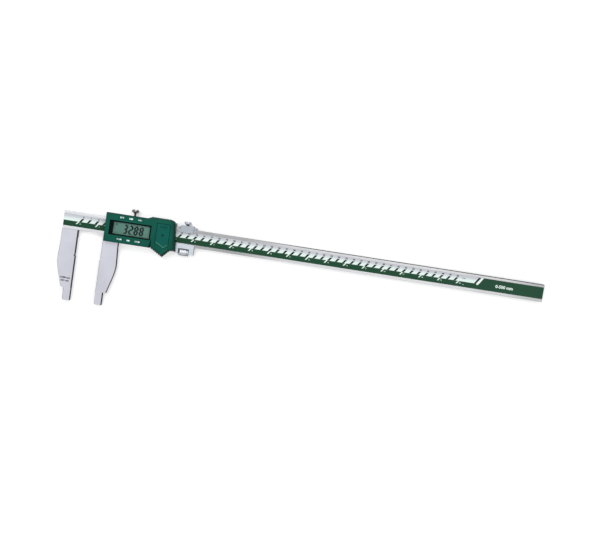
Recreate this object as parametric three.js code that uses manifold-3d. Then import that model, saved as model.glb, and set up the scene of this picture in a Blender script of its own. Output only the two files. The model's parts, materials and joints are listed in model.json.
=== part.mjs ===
// Long-jaw digital caliper with a fine-adjust carriage, 0-500 mm, in millimetres, +Z up.
// It lies on its back: +X runs along the beam, the jaws point along -Y, the display faces +Z.
// Each group has its own datum. Beam: X = 0 at the fixed measuring face, Y = 0 at the beam's
// lower edge, Z = 0 at the back plane. Slider: X = 0 at the moving measuring face.
// Carriage: X = 0 at its face next to the slider.

import * as THREE from 'three';
import { mergeVertices } from 'three/addons/utils/BufferGeometryUtils.js';
import Module from 'manifold-3d';

const wasm = await Module();
wasm.setup();

// ---------------------------------------------------------------- driving dimensions

const READING = 32.88;
const ZERO_GAP = 0.02;
const OPENING = READING + ZERO_GAP;
const CARRIAGE_AT = 97.3;

const BEAM_LEFT = -21;
const BEAM_RIGHT = 622;
const BEAM_WIDTH = 23.5;
const BEAM_BACK = 2.6;
const BEAM_FRONT = 8.6;
const BEAM_MID = (BEAM_BACK + BEAM_FRONT) / 2;
const LAND = 3.8;
const RECESS_FLOOR = 7.5;

const WEB = 2.4;
const RUN_GAP = 0.15;
const RAIL_FRONT = 8.8;
const LIP_FRONT = 10.6;
const LIP_LOWER_EDGE = 3.4;
const LIP_UPPER_EDGE = 20.1;

const JAW_LENGTH = 94.5;
const JAW_ROOT_WIDTH = 21;
const JAW_BELLY = 22.3;
const NIB_WIDTH = 10;
const NIB_HEIGHT = 17;
const JAW_RELIEF = 0.6;
const EDGE_CHAMFER = 0.35;
const UPPER_CHAMFER = 0.8;

const FRAME_LEFT = 0.6;
const FRAME_RIGHT = 93.5;
const FRAME_BOTTOM = -7.7;
const FRAME_TOP = 28.5;
const UPPER_RAIL = 24.75;
const LUG = { left: 79, right: 86, bottom: -10.8 };

const HOUSING_BACK = 9;
const HOUSING_FRONT = 19;
const HOUSING_WALL = 1.8;
const HOUSING_LEFT = 2.4;
const HOUSING_BOTTOM = -7.9;
const HOUSING_TOP = 29.8;
const HOUSING_HUMP = 32.4;
const CAVITY_FRONT = HOUSING_FRONT - HOUSING_WALL;
const CELL_BAY = { left: 63.2, right: 90.6, bottom: -2.4, front: 16.4 };
const THUMB = { left: [63, -7.9], tip: [80.7, -18.4], right: [90.3, -8] };
const THUMB_BEVEL = { inset: 3.7, fall: [15, 10] };
const SERRATION_DEPTH = 1.6;
const CHEVRON = { left: [69.7, 1.4], tip: [81.5, -5.7], right: [87.3, -0.7] };
const CHEVRON_DROP = [2.6, 11];

const WINDOW = { left: 8.2, right: 62.9, bottom: 1.9, top: 21.2 };
const GLASS = { left: 13.2, right: 61.1, bottom: 3.5, top: 19.3 };

const BUTTON_COLUMNS = [23.4, 35.2, 47.1];
const BUTTON_ROWS = { upper: 25.9, lower: -2.6 };
const BUTTON_SIZE = [8.6, 3.6];
const BUTTON_FIT = 0.2;

const HOUSING_SCREW_AT = [[7.6, 26.6], [88, 26.6], [7.6, -4.4], [88, -3.6]];
const CELL = { x: 78.5, y: 12, radius: 5.8, back: 12.15, height: 5.4 };

const ROD_Y = -7.9;
const ROD_RADIUS = 1.5;
const ROD_FIT = 0.15;
const CARRIAGE_LENGTH = 23.4;
const CARRIAGE_TOP = 27.5;
const CARRIAGE_SHOULDER = 26;
const CARRIAGE_BOTTOM = -2.8;
const LEG_BOTTOM = -10.4;
const NUT = { left: 3.4, length: 13.4, radius: 4.9 };

const SLIDER_LOCK_AT = 37.6;
const CARRIAGE_LOCK_AT = 10.9;
const LOCK_STEM = 1.5;

const STOP_PIN = { x: 590, y: 11.75, radius: 1.5, groove: 1.9, skin: 0.5, notch: 88.28 };

const ROUND = 24;

// ---------------------------------------------------------------- materials

function finish(color, roughness, metalness, opacity = 1) {
  return new THREE.MeshStandardMaterial({
    color, roughness, metalness, opacity, transparent: opacity < 1,
  });
}

const GROUND_STEEL = finish(0xd2d3da, 0.35, 0.9);
const SATIN_CHROME = finish(0xc8c9ce, 0.4, 0.9);
const DARK_STEEL = finish(0x7d7674, 0.4, 0.9);
const GREEN_PLASTIC = finish(0x17584a, 0.45, 0);
const GREEN_COVER = finish(0x1f6258, 0.45, 0);
const BLACK_PLASTIC = finish(0x101412, 0.5, 0);
const CLEAR = finish(0xe8f0ee, 0.05, 0, 0.3);
const LCD_GREY = finish(0x8fa39a, 0.3, 0);
const BOARD_GREEN = finish(0x1d5a34, 0.6, 0);
const LABEL_SILVER = finish(0xc8d2d7, 0.45, 0.2);
const RUBBER = finish(0x333333, 0.9, 0);
const SPRING_BRASS = finish(0xb99a55, 0.35, 0.9);

// ---------------------------------------------------------------- solids

function toSolid(geometry) {
  const bare = geometry.index ? geometry.toNonIndexed() : geometry.clone();
  bare.deleteAttribute('normal');
  bare.deleteAttribute('uv');
  const merged = mergeVertices(bare, 1e-4);
  return new wasm.Manifold(new wasm.Mesh({
    numProp: 3,
    vertProperties: new Float32Array(merged.attributes.position.array),
    triVerts: new Uint32Array(merged.index.array),
  }));
}

function toGeometry(solid) {
  const mesh = solid.getMesh();
  const geometry = new THREE.BufferGeometry();
  geometry.setAttribute('position', new THREE.BufferAttribute(mesh.vertProperties, 3));
  geometry.setIndex(new THREE.BufferAttribute(mesh.triVerts, 1));
  const flat = geometry.toNonIndexed();
  flat.computeVertexNormals();
  return flat;
}

function block(x0, x1, y0, y1, z0, z1) {
  const geometry = new THREE.BoxGeometry(x1 - x0, y1 - y0, z1 - z0);
  geometry.translate((x0 + x1) / 2, (y0 + y1) / 2, (z0 + z1) / 2);
  return toSolid(geometry);
}

function outline(points) {
  return new THREE.Shape(points.map(([x, y]) => new THREE.Vector2(x, y)));
}

// A plate cut from an outline in X and Y; the chamfer runs round both faces, inside the outline.
function plate(shape, z0, z1, chamfer = 0, steps = 1) {
  const geometry = new THREE.ExtrudeGeometry(shape, {
    depth: z1 - z0 - 2 * chamfer,
    curveSegments: 8,
    bevelEnabled: chamfer > 0,
    bevelThickness: chamfer,
    bevelSize: chamfer,
    bevelOffset: -chamfer,
    bevelSegments: steps,
  });
  geometry.translate(0, 0, z0 + chamfer);
  return toSolid(geometry);
}

// A bar cut from an outline in Y and Z, running along X.
function bar(points, x0, x1) {
  const geometry = new THREE.ExtrudeGeometry(outline(points), { depth: x1 - x0, bevelEnabled: false });
  const axes = new THREE.Matrix4().makeBasis(
    new THREE.Vector3(0, 1, 0),
    new THREE.Vector3(0, 0, 1),
    new THREE.Vector3(1, 0, 0),
  );
  geometry.applyMatrix4(axes);
  geometry.translate(x0, 0, 0);
  return toSolid(geometry);
}

// A turned piece: profile points are [radius, height] from end to end along the axis.
function turned(axis, profile, at, segments = ROUND) {
  const ends = [[0, profile[0][1]], ...profile, [0, profile.at(-1)[1]]];
  const geometry = new THREE.LatheGeometry(ends.map(([r, h]) => new THREE.Vector2(r, h)), segments);
  if (axis === 'x') {
    geometry.rotateZ(-Math.PI / 2);
  }
  if (axis === 'z') {
    geometry.rotateX(Math.PI / 2);
  }
  geometry.translate(...at);
  return toSolid(geometry);
}

function rod(axis, radius, from, to, at, segments = ROUND) {
  return turned(axis, [[radius, from], [radius, to]], at, segments);
}

function join(...solids) {
  return solids.reduce((whole, piece) => whole.add(piece));
}

function cut(solid, ...tools) {
  return tools.reduce((rest, tool) => rest.subtract(tool), solid);
}

function piece(name, solid, material, parent, at = [0, 0, 0]) {
  const mesh = new THREE.Mesh(toGeometry(solid), material);
  mesh.name = name;
  mesh.position.set(...at);
  parent.add(mesh);
}

// ---------------------------------------------------------------- groups

const caliper = new THREE.Group();
const beamGroup = new THREE.Group();
const sliderGroup = new THREE.Group();
const carriageGroup = new THREE.Group();
const LOCK_TOP = 38;

sliderGroup.position.x = OPENING;
carriageGroup.position.x = CARRIAGE_AT;
sliderGroup.add(carriageGroup);
beamGroup.add(sliderGroup);
caliper.add(beamGroup);

// The origin is the centre of the footprint, on the plane that the caliper rests on.
beamGroup.position.x = -(BEAM_RIGHT - JAW_BELLY) / 2;
beamGroup.position.y = (JAW_LENGTH - LOCK_TOP) / 2;

// ---------------------------------------------------------------- beam

const RIVETS = [[-16.2, 18], [-4.8, 18], [-10.5, 6]];
const RIVET_RADIUS = 2;
const RIVET_FRONT = 7.2;

function beam() {
  const c = EDGE_CHAMFER;
  const profile = [
    [c, BEAM_BACK],
    [BEAM_WIDTH - c, BEAM_BACK],
    [BEAM_WIDTH, BEAM_BACK + c],
    [BEAM_WIDTH, BEAM_FRONT - UPPER_CHAMFER],
    [BEAM_WIDTH - UPPER_CHAMFER, BEAM_FRONT],
    [BEAM_WIDTH - LAND, BEAM_FRONT],
    [BEAM_WIDTH - LAND, RECESS_FLOOR],
    [LAND, RECESS_FLOOR],
    [LAND, BEAM_FRONT],
    [c, BEAM_FRONT],
    [0, BEAM_FRONT - c],
    [0, BEAM_BACK + c],
  ];
  const holes = RIVETS.map(([x, y]) => rod('z', RIVET_RADIUS + 0.1, 0, RIVET_FRONT + 0.1, [x, y, 0]));
  const pinHole = rod('z', STOP_PIN.radius + 0.1, 0, 6.1, [STOP_PIN.x, STOP_PIN.y, 0]);
  return cut(bar(profile, BEAM_LEFT, BEAM_RIGHT), ...holes, pinHole);
}

piece('beam', beam(), GROUND_STEEL, beamGroup);

piece(
  'scale_grid',
  block(BEAM_LEFT + 0.3, BEAM_RIGHT - 0.3, LAND + 0.15, BEAM_WIDTH - LAND - 0.15, 7.55, 8.15),
  BOARD_GREEN,
  beamGroup,
);

piece(
  'scale_label',
  block(BEAM_LEFT + 0.1, BEAM_RIGHT - 0.1, LAND + 0.1, BEAM_WIDTH - LAND - 0.1, 8.2, 8.5),
  LABEL_SILVER,
  beamGroup,
);

// ---------------------------------------------------------------- jaws

// The outline of the fixed jaw, from its root down to the shoulder of its nib.
function jawOutline() {
  const shape = new THREE.Shape();
  shape.moveTo(-JAW_RELIEF, -RUN_GAP);
  shape.lineTo(-JAW_ROOT_WIDTH, -RUN_GAP);
  shape.lineTo(-JAW_ROOT_WIDTH, -16);
  shape.lineTo(-JAW_BELLY, -38);
  shape.bezierCurveTo(-JAW_BELLY, -50, -18, -60, -13.6, NIB_HEIGHT - JAW_LENGTH);
  shape.lineTo(-NIB_WIDTH + 0.5, NIB_HEIGHT - JAW_LENGTH);
  shape.lineTo(-NIB_WIDTH + 0.5, NIB_HEIGHT - JAW_LENGTH - 1);
  shape.lineTo(0, NIB_HEIGHT - JAW_LENGTH - 1);
  shape.lineTo(0, -35);
  shape.lineTo(-1.2, -34.4);
  shape.lineTo(-1.2, -33.6);
  shape.lineTo(-JAW_RELIEF, -33);
  return shape;
}

// The nib for inside measuring: its outer face is part of a cylinder about the jaw's face.
function nib() {
  const body = block(-NIB_WIDTH - 1, 0, -JAW_LENGTH, NIB_HEIGHT - JAW_LENGTH, 0, BEAM_FRONT);
  const crown = rod('y', NIB_WIDTH, -JAW_LENGTH, 0, [0, 0, BEAM_FRONT / 2], 64);
  return body.intersect(crown);
}

function jawBlade() {
  return join(plate(jawOutline(), 0, BEAM_FRONT, EDGE_CHAMFER), nib());
}

function fixedJaw() {
  const tang = block(BEAM_LEFT, -0.2, -10, BEAM_WIDTH, 0.01, BEAM_BACK - 0.15);
  const holes = RIVETS.map(([x, y]) => rod('z', RIVET_RADIUS + 0.1, -1, BEAM_BACK, [x, y, 0]));
  return cut(join(jawBlade(), tang), ...holes);
}

piece('fixed_jaw', fixedJaw(), SATIN_CHROME, beamGroup);

RIVETS.forEach(([x, y], i) => {
  const rivet = rod('z', RIVET_RADIUS, 0.05, RIVET_FRONT, [0, 0, 0]);
  piece(`jaw_rivet_${i + 1}`, rivet, GROUND_STEEL, beamGroup, [x, y, 0]);
});

const stopPin = rod('z', STOP_PIN.radius, STOP_PIN.skin + 0.3, 6, [0, 0, 0]);
piece('stop_pin', stopPin, DARK_STEEL, beamGroup, [STOP_PIN.x, STOP_PIN.y, 0]);

// ---------------------------------------------------------------- slider frame with moving jaw

function sliderFrame() {
  const solid = join(
    block(FRAME_LEFT, FRAME_RIGHT, -6, FRAME_TOP, 0, WEB),
    block(FRAME_LEFT, LUG.right, FRAME_BOTTOM, -RUN_GAP, 0, RAIL_FRONT),
    block(FRAME_LEFT, FRAME_RIGHT, -6, -RUN_GAP, 0, RAIL_FRONT),
    block(FRAME_LEFT, FRAME_RIGHT, UPPER_RAIL, FRAME_TOP, 0, RAIL_FRONT),
    block(4.5, 90, -2, LIP_LOWER_EDGE, RAIL_FRONT, LIP_FRONT),
    block(4.5, 90, LIP_UPPER_EDGE, 26, RAIL_FRONT, LIP_FRONT),
    block(LUG.left, LUG.right, LUG.bottom, -RUN_GAP, 0, RAIL_FRONT),
    jawBlade().mirror([1, 0, 0]),
  );
  const screwHoles = HOUSING_SCREW_AT.flatMap(([x, y]) => [
    rod('z', 0.95, -1, LIP_FRONT + 1, [x, y, 0], 16),
    rod('z', 1.65, -1, 1.35, [x, y, 0]),
    rod('z', 2.1, RAIL_FRONT, LIP_FRONT + 1, [x, y, 0]),
  ]);
  const notch = block(
    STOP_PIN.notch, FRAME_RIGHT + 1,
    STOP_PIN.y - STOP_PIN.groove, STOP_PIN.y + STOP_PIN.groove,
    STOP_PIN.skin, WEB + 1,
  );
  return cut(
    solid,
    ...screwHoles,
    notch,
    rod('y', LOCK_STEM + 0.15, 20, 40, [SLIDER_LOCK_AT, 0, BEAM_MID]),
    rod('y', 1.5, 20, 40, [14, 0, BEAM_MID]),
    rod('y', 1.5, 20, 40, [80, 0, BEAM_MID]),
    rod('x', ROD_RADIUS + ROD_FIT, LUG.left + 1, FRAME_RIGHT + 1, [0, ROD_Y, BEAM_MID]),
  );
}

piece('slider_frame', sliderFrame(), SATIN_CHROME, sliderGroup);

piece(
  'gib_strip',
  block(FRAME_LEFT + 1, FRAME_RIGHT - 1, BEAM_WIDTH + RUN_GAP, 24.55, BEAM_BACK + 0.3, BEAM_FRONT - 0.3),
  SPRING_BRASS,
  sliderGroup,
);

[14, 80].forEach((x, i) => {
  const screw = rod('y', 1.35, 24.65, FRAME_TOP - 0.3, [0, 0, 0], 16);
  const slot = block(-2, 2, FRAME_TOP - 1.1, FRAME_TOP + 1, -0.25, 0.25);
  piece(`gib_screw_${i + 1}`, cut(screw, slot), DARK_STEEL, sliderGroup, [x, 0, BEAM_MID]);
});

const threadedRod = turned('x', [[1.2, 80.5], [ROD_RADIUS, 80.9], [ROD_RADIUS, 117.7], [1.2, 118.1]], [0, 0, 0]);
piece('fine_adjust_rod', threadedRod, DARK_STEEL, sliderGroup, [0, ROD_Y, BEAM_MID]);

// ---------------------------------------------------------------- housing

function housingOutline() {
  const shape = new THREE.Shape();
  shape.moveTo(HOUSING_LEFT, HOUSING_BOTTOM);
  shape.lineTo(...THUMB.left);
  shape.lineTo(...THUMB.tip);
  shape.lineTo(...THUMB.right);
  shape.lineTo(96.9, -5.8);
  shape.lineTo(93, 27.6);
  shape.quadraticCurveTo(92.7, 30.2, 90.2, 31.1);
  shape.quadraticCurveTo(87.8, HOUSING_HUMP, 85, HOUSING_HUMP);
  shape.lineTo(61.5, HOUSING_HUMP);
  shape.lineTo(55.6, HOUSING_TOP);
  shape.lineTo(HOUSING_LEFT, HOUSING_TOP);
  return shape;
}

// Small V grooves along one edge of the thumb rest, square to that edge.
function serrations(from, to, count) {
  const start = new THREE.Vector2(...from);
  const step = new THREE.Vector2(...to).sub(start).divideScalar(count);
  const depth = new THREE.Vector2(-step.y, step.x).setLength(SERRATION_DEPTH);
  return Array.from({ length: count }, (_, i) => {
    const middle = start.clone().addScaledVector(step, i + 0.5);
    const mouth = step.clone().multiplyScalar(0.36);
    const out = depth.clone().multiplyScalar(-0.3);
    const left = middle.clone().sub(mouth).add(out);
    const right = middle.clone().add(mouth).add(out);
    const root = middle.clone().add(depth);
    return plate(outline([left.toArray(), right.toArray(), root.toArray()]), 0, HOUSING_FRONT + 1);
  });
}

// A line moved to its left by a distance, as a pair of points.
function movedLeft(a, b, distance) {
  const length = Math.hypot(b[0] - a[0], b[1] - a[1]);
  const shift = [(-(b[1] - a[1]) * distance) / length, ((b[0] - a[0]) * distance) / length];
  return [a, b].map(([x, y]) => [x + shift[0], y + shift[1]]);
}

// Removes what stands above a plane that holds the line from a to b and falls away to its right.
function slope(a, b, drop, reach) {
  const along = Math.atan2(b[1] - a[1], b[0] - a[0]);
  const length = Math.hypot(b[0] - a[0], b[1] - a[1]);
  const geometry = new THREE.BoxGeometry(length, 40, 20);
  geometry.translate(length / 2, -20, 10);
  geometry.rotateX(Math.atan2(drop, reach));
  geometry.rotateZ(along);
  geometry.translate(a[0], a[1], HOUSING_FRONT);
  return toSolid(geometry);
}

// The point of the line through a and b at a given x.
function pointOn(a, b, x) {
  return [x, a[1] + ((b[1] - a[1]) * (x - a[0])) / (b[0] - a[0])];
}

function batteryCoverOutline(gap) {
  return outline([
    [CHEVRON.left[0] - gap, 26 + gap],
    [CHEVRON.left[0] - gap, CHEVRON.left[1]],
    [CHEVRON.tip[0], CHEVRON.tip[1] - gap],
    [CHEVRON.right[0] + gap, CHEVRON.right[1]],
    [CHEVRON.right[0] + gap, 26 + gap],
  ]);
}

function housing() {
  const shell = plate(housingOutline(), HOUSING_BACK - 2, HOUSING_FRONT, 1, 2)
    .subtract(block(-10, 110, -30, 40, 0, HOUSING_BACK));
  const cavityTop = HOUSING_TOP - HOUSING_WALL;
  const cavity = join(
    block(
      HOUSING_LEFT + HOUSING_WALL, CELL_BAY.left, HOUSING_BOTTOM + HOUSING_WALL, cavityTop,
      0, CAVITY_FRONT,
    ),
    block(CELL_BAY.left - 1, CELL_BAY.right, CELL_BAY.bottom, cavityTop, 0, CELL_BAY.front),
  );
  const window = block(WINDOW.left, WINDOW.right, WINDOW.bottom, WINDOW.top, 0, HOUSING_FRONT + 1);
  const buttonHoles = BUTTON_COLUMNS.flatMap((x) => Object.values(BUTTON_ROWS).map((y) => {
    const w = BUTTON_SIZE[0] / 2 + BUTTON_FIT;
    const h = BUTTON_SIZE[1] / 2 + BUTTON_FIT;
    return block(x - w, x + w, y - h, y + h, 0, HOUSING_FRONT + 1);
  }));
  const coverSeat = plate(batteryCoverOutline(0.2), 17.6, HOUSING_FRONT + 2);
  const slideOut = block(
    CHEVRON.left[0] - 0.2, CHEVRON.right[0] + 0.2, -30, CHEVRON.left[1] + 0.1, 17.6, HOUSING_FRONT + 2,
  );
  const cellHole = rod('z', CELL.radius + 0.5, 0, HOUSING_FRONT, [CELL.x, CELL.y, 0]);
  const leftSlope = slope(pointOn(CHEVRON.left, CHEVRON.tip, 56), CHEVRON.tip, ...CHEVRON_DROP)
    .intersect(slope([61.4, -9], [65.8, 11], 3, 3));
  const body = cut(
    shell,
    leftSlope,
    slope(CHEVRON.tip, pointOn(CHEVRON.tip, CHEVRON.right, 97.8), ...CHEVRON_DROP),
    slope([90, -20], [86.9, 40], 1.6, 9),
    slope([94.3, -20], [89.7, 40], 3.4, 5),
    slope(...movedLeft(THUMB.left, THUMB.tip, THUMB_BEVEL.inset), ...THUMB_BEVEL.fall),
    slope(...movedLeft(THUMB.tip, THUMB.right, THUMB_BEVEL.inset), ...THUMB_BEVEL.fall),
    ...serrations(THUMB.left, THUMB.tip, 7),
    ...serrations(THUMB.tip, THUMB.right, 6),
    cavity,
    window,
    ...buttonHoles,
    coverSeat,
    slideOut,
    cellHole,
  );
  const bosses = HOUSING_SCREW_AT.map(([x, y]) => (
    rod('z', 1.8, HOUSING_BACK, CAVITY_FRONT + 0.3, [x, y, 0])
  ));
  const screwHoles = HOUSING_SCREW_AT.map(([x, y]) => rod('z', 0.95, 0, 13.2, [x, y, 0], 16));
  return cut(join(body, ...bosses), ...screwHoles);
}

piece('housing', housing(), GREEN_PLASTIC, sliderGroup);

piece('battery_cover', batteryCover(), GREEN_COVER, sliderGroup);

function batteryCover() {
  return plate(batteryCoverOutline(0), 17.7, HOUSING_FRONT, 0.3);
}

HOUSING_SCREW_AT.forEach(([x, y], i) => {
  const screw = turned('z', [[1.5, 0.15], [1.5, 1.25], [0.8, 1.25], [0.8, 13]], [0, 0, 0], 16);
  const slot = block(-2, 2, -0.2, 0.2, 0, 0.7);
  piece(`housing_screw_${i + 1}`, cut(screw, slot), DARK_STEEL, sliderGroup, [x, y, 0]);
});

// ---------------------------------------------------------------- display

function displayBezel() {
  const frame = block(
    WINDOW.left + 0.2, WINDOW.right - 0.2, WINDOW.bottom + 0.2, WINDOW.top - 0.2, 15.6, 18.2,
  );
  const opening = block(GLASS.left, GLASS.right, GLASS.bottom, GLASS.top, 15, HOUSING_FRONT);
  return frame.subtract(opening);
}

piece('display_bezel', displayBezel(), BLACK_PLASTIC, sliderGroup);

piece(
  'display_window',
  block(GLASS.left + 0.15, GLASS.right - 0.15, GLASS.bottom + 0.15, GLASS.top - 0.15, 16.2, 17.2),
  CLEAR,
  sliderGroup,
);

piece('lcd_panel', block(11.4, 62.6, 0.8, 21.6, 13.6, 15.4), LCD_GREY, sliderGroup);

piece('lcd_connector', block(14, 58, 1.4, 3.2, 11.85, 13.5), RUBBER, sliderGroup);

// ---------------------------------------------------------------- electronics

const BOARD_FRONT = 11.75;

piece(
  'circuit_board',
  join(
    block(10.6, 62.6, -5.9, 27, 10.75, BOARD_FRONT),
    block(60, 84.8, -1.9, 27, 10.75, BOARD_FRONT),
  ),
  BOARD_GREEN,
  sliderGroup,
);

piece('reading_head', block(14, 66, 3.7, 19.8, 8.95, 10.6), BOARD_GREEN, sliderGroup);

const coinCell = turned('z', [[5.2, 0], [CELL.radius, 0.5], [CELL.radius, 4.9], [5.2, CELL.height]], [0, 0, 0]);
piece('coin_cell', coinCell, GROUND_STEEL, sliderGroup, [CELL.x, CELL.y, CELL.back]);

piece(
  'battery_contact_lower',
  block(CELL.x - 3, CELL.x + 3, CELL.y - 4, CELL.y + 4, BOARD_FRONT + 0.08, CELL.back - 0.08),
  SPRING_BRASS,
  sliderGroup,
);

piece(
  'battery_contact_side',
  join(
    block(CELL.x - 2.5, CELL.x + 2.5, CELL.y + 6.1, CELL.y + 6.4, BOARD_FRONT + 0.1, 16.1),
    block(CELL.x - 2.5, CELL.x + 2.5, CELL.y + 6.1, CELL.y + 8.4, BOARD_FRONT + 0.1, BOARD_FRONT + 0.4),
  ),
  SPRING_BRASS,
  sliderGroup,
);

// ---------------------------------------------------------------- buttons and their switches

function button() {
  const w = BUTTON_SIZE[0] / 2;
  const h = BUTTON_SIZE[1] / 2;
  const cap = block(-w, w, -h, h, 16.5, HOUSING_FRONT + 0.1);
  const flange = block(-w - 0.6, w + 0.6, -h - 0.15, h + 0.15, 16.2, 17.0);
  return join(cap, flange, rod('z', 1.2, 14.8, 16.6, [0, 0, 0], 16));
}

function switchBody() {
  return join(block(-2.1, 2.1, -1.7, 1.7, BOARD_FRONT + 0.1, 13.4), rod('z', 0.8, 13, 14, [0, 0, 0], 16));
}

for (const [row, y] of Object.entries(BUTTON_ROWS)) {
  BUTTON_COLUMNS.forEach((x, i) => {
    piece(`button_${row}_${i + 1}`, button(), GREEN_PLASTIC, sliderGroup, [x, y, 0]);
    piece(`switch_${row}_${i + 1}`, switchBody(), BLACK_PLASTIC, sliderGroup, [x, y, 0]);
  });
}

// ---------------------------------------------------------------- lock screws

// A thumb screw along +Y: stem, cone under the head, round head with a slot across its top.
function lockScrew(tip, headBottom, headTop) {
  const profile = [
    [1.1, tip],
    [LOCK_STEM, tip + 0.4],
    [LOCK_STEM, headBottom],
    [2.6, headBottom],
    [4.3, headBottom + 1.5],
    [4.7, headBottom + 2.2],
    [4.7, headTop - 1.2],
    [4.2, headTop - 0.3],
    [3.2, headTop],
  ];
  const slot = block(-0.8, 0.8, headTop - 1.8, headTop + 1, -6, 6);
  return cut(turned('y', profile, [0, 0, 0], 32), slot);
}

const sliderLock = lockScrew(24.65, 33, LOCK_TOP);
piece('slider_lock_screw', sliderLock, DARK_STEEL, sliderGroup, [SLIDER_LOCK_AT, 0, BEAM_MID]);

// ---------------------------------------------------------------- fine-adjust carriage

function carriageFrame() {
  const solid = join(
    block(0, CARRIAGE_LENGTH, CARRIAGE_BOTTOM, CARRIAGE_SHOULDER, 0, WEB),
    block(0, CARRIAGE_LENGTH, CARRIAGE_BOTTOM, -RUN_GAP, 0, LIP_FRONT),
    block(0, CARRIAGE_LENGTH, 24.3, CARRIAGE_SHOULDER, 0, LIP_FRONT - 0.8),
    block(2.6, 19.8, 24.3, CARRIAGE_TOP, 0, LIP_FRONT),
    block(0, CARRIAGE_LENGTH, CARRIAGE_BOTTOM, LIP_LOWER_EDGE, RAIL_FRONT, LIP_FRONT),
    block(2.6, 19.8, 18.4, CARRIAGE_TOP, RAIL_FRONT, LIP_FRONT),
    block(20.6, CARRIAGE_LENGTH, 20.1, CARRIAGE_SHOULDER, RAIL_FRONT, LIP_FRONT),
    block(0, NUT.left - 0.4, LEG_BOTTOM, -RUN_GAP, 1.2, 10),
    block(NUT.left + NUT.length + 0.4, CARRIAGE_LENGTH, LEG_BOTTOM, -RUN_GAP, 1.2, 10),
  );
  const groove = block(
    -1, CARRIAGE_LENGTH + 1,
    STOP_PIN.y - STOP_PIN.groove, STOP_PIN.y + STOP_PIN.groove,
    STOP_PIN.skin, WEB + 1,
  );
  return cut(
    solid,
    groove,
    rod('y', LOCK_STEM + 0.15, 20, 40, [CARRIAGE_LOCK_AT, 0, BEAM_MID]),
    rod('x', ROD_RADIUS + ROD_FIT, -1, CARRIAGE_LENGTH + 1, [0, ROD_Y, BEAM_MID]),
  );
}

piece('carriage_frame', carriageFrame(), SATIN_CHROME, carriageGroup);

piece(
  'carriage_gib',
  block(0.6, CARRIAGE_LENGTH - 0.6, BEAM_WIDTH + RUN_GAP, 24.15, BEAM_BACK + 0.3, BEAM_FRONT - 0.3),
  SPRING_BRASS,
  carriageGroup,
);

const carriageLock = lockScrew(24.25, 28, 33);
piece('carriage_lock_screw', carriageLock, SATIN_CHROME, carriageGroup, [CARRIAGE_LOCK_AT, 0, BEAM_MID]);

function adjustNut() {
  const profile = [
    [3.4, 0],
    [4.5, 0.8],
    [NUT.radius, 2],
    [NUT.radius, NUT.length - 0.7],
    [4.3, NUT.length],
  ];
  return cut(turned('x', profile, [0, 0, 0], 32), rod('x', ROD_RADIUS + ROD_FIT, -1, NUT.length + 1, [0, 0, 0]));
}

piece('fine_adjust_nut', adjustNut(), GROUND_STEEL, carriageGroup, [NUT.left, ROD_Y, BEAM_MID]);

export default caliper;
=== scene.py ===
"""Looks for the long-jaw digital caliper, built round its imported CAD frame."""

import json
import math

import bmesh
import bpy
from mathutils import Matrix, Vector


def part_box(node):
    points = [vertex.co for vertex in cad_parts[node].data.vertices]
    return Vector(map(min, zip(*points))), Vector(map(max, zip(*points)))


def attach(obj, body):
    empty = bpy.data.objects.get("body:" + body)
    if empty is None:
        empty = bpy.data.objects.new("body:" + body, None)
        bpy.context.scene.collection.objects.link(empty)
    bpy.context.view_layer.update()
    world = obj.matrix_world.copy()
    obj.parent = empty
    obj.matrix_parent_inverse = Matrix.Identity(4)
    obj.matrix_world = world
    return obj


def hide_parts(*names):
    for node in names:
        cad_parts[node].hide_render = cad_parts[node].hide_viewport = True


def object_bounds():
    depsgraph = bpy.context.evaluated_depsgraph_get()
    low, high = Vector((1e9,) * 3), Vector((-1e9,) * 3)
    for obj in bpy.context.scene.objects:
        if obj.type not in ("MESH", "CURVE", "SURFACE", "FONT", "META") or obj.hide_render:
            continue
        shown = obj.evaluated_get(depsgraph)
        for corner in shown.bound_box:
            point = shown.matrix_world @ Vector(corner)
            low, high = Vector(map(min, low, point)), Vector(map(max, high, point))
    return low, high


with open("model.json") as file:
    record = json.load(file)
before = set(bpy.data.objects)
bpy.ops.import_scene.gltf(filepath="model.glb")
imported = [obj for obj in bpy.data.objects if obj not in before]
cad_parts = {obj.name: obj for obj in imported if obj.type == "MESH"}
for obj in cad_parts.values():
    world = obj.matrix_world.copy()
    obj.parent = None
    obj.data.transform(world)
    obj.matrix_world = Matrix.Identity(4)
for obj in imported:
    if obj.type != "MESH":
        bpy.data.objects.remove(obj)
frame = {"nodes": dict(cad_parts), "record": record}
cad_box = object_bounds()

# ---------------------------------------------------------------- sizes taken from the frame

MM = 0.001
LAYER = 0.02 * MM
BEAM_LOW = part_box("beam")[0]
LABEL_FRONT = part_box("scale_label")[1].z
FACE_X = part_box("fixed_jaw")[1].x
LCD_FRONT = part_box("lcd_panel")[1].z
SLIDER_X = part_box("slider_frame")[0].x
READING = "32.88"

# ---------------------------------------------------------------- colours, linear

BRIGHT_STEEL = (0.60, 0.61, 0.68)
LAND_STEEL = (0.72, 0.73, 0.75)
# Painted dark reflection on steel end faces and steep sides.
SIDE_REFLECTION_DARK = (0.045, 0.045, 0.052)
# Painted dark reflection on the beam's upper chamfer.
CHAMFER_REFLECTION_DARK = (0.03, 0.025, 0.025)
CARRIAGE_STEEL = (0.62, 0.67, 0.74)
NUT_STEEL = (0.50, 0.52, 0.55)
KNOB_STEEL = (0.125, 0.11, 0.107)
THREAD_STEEL = (0.26, 0.25, 0.25)
BRASS = (0.46, 0.30, 0.10)
GREEN = (0.004, 0.074, 0.052)
COVER_GREEN = (0.003, 0.076, 0.060)
# Painted highlight along the battery cover's lower edge.
LIP_HIGHLIGHT_GREEN = (0.06, 0.25, 0.19)
STRIPE_GREEN = (0.005, 0.045, 0.020)
BOARD_GREEN = (0.008, 0.10, 0.03)
SILVER = (0.44, 0.45, 0.49)
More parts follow.
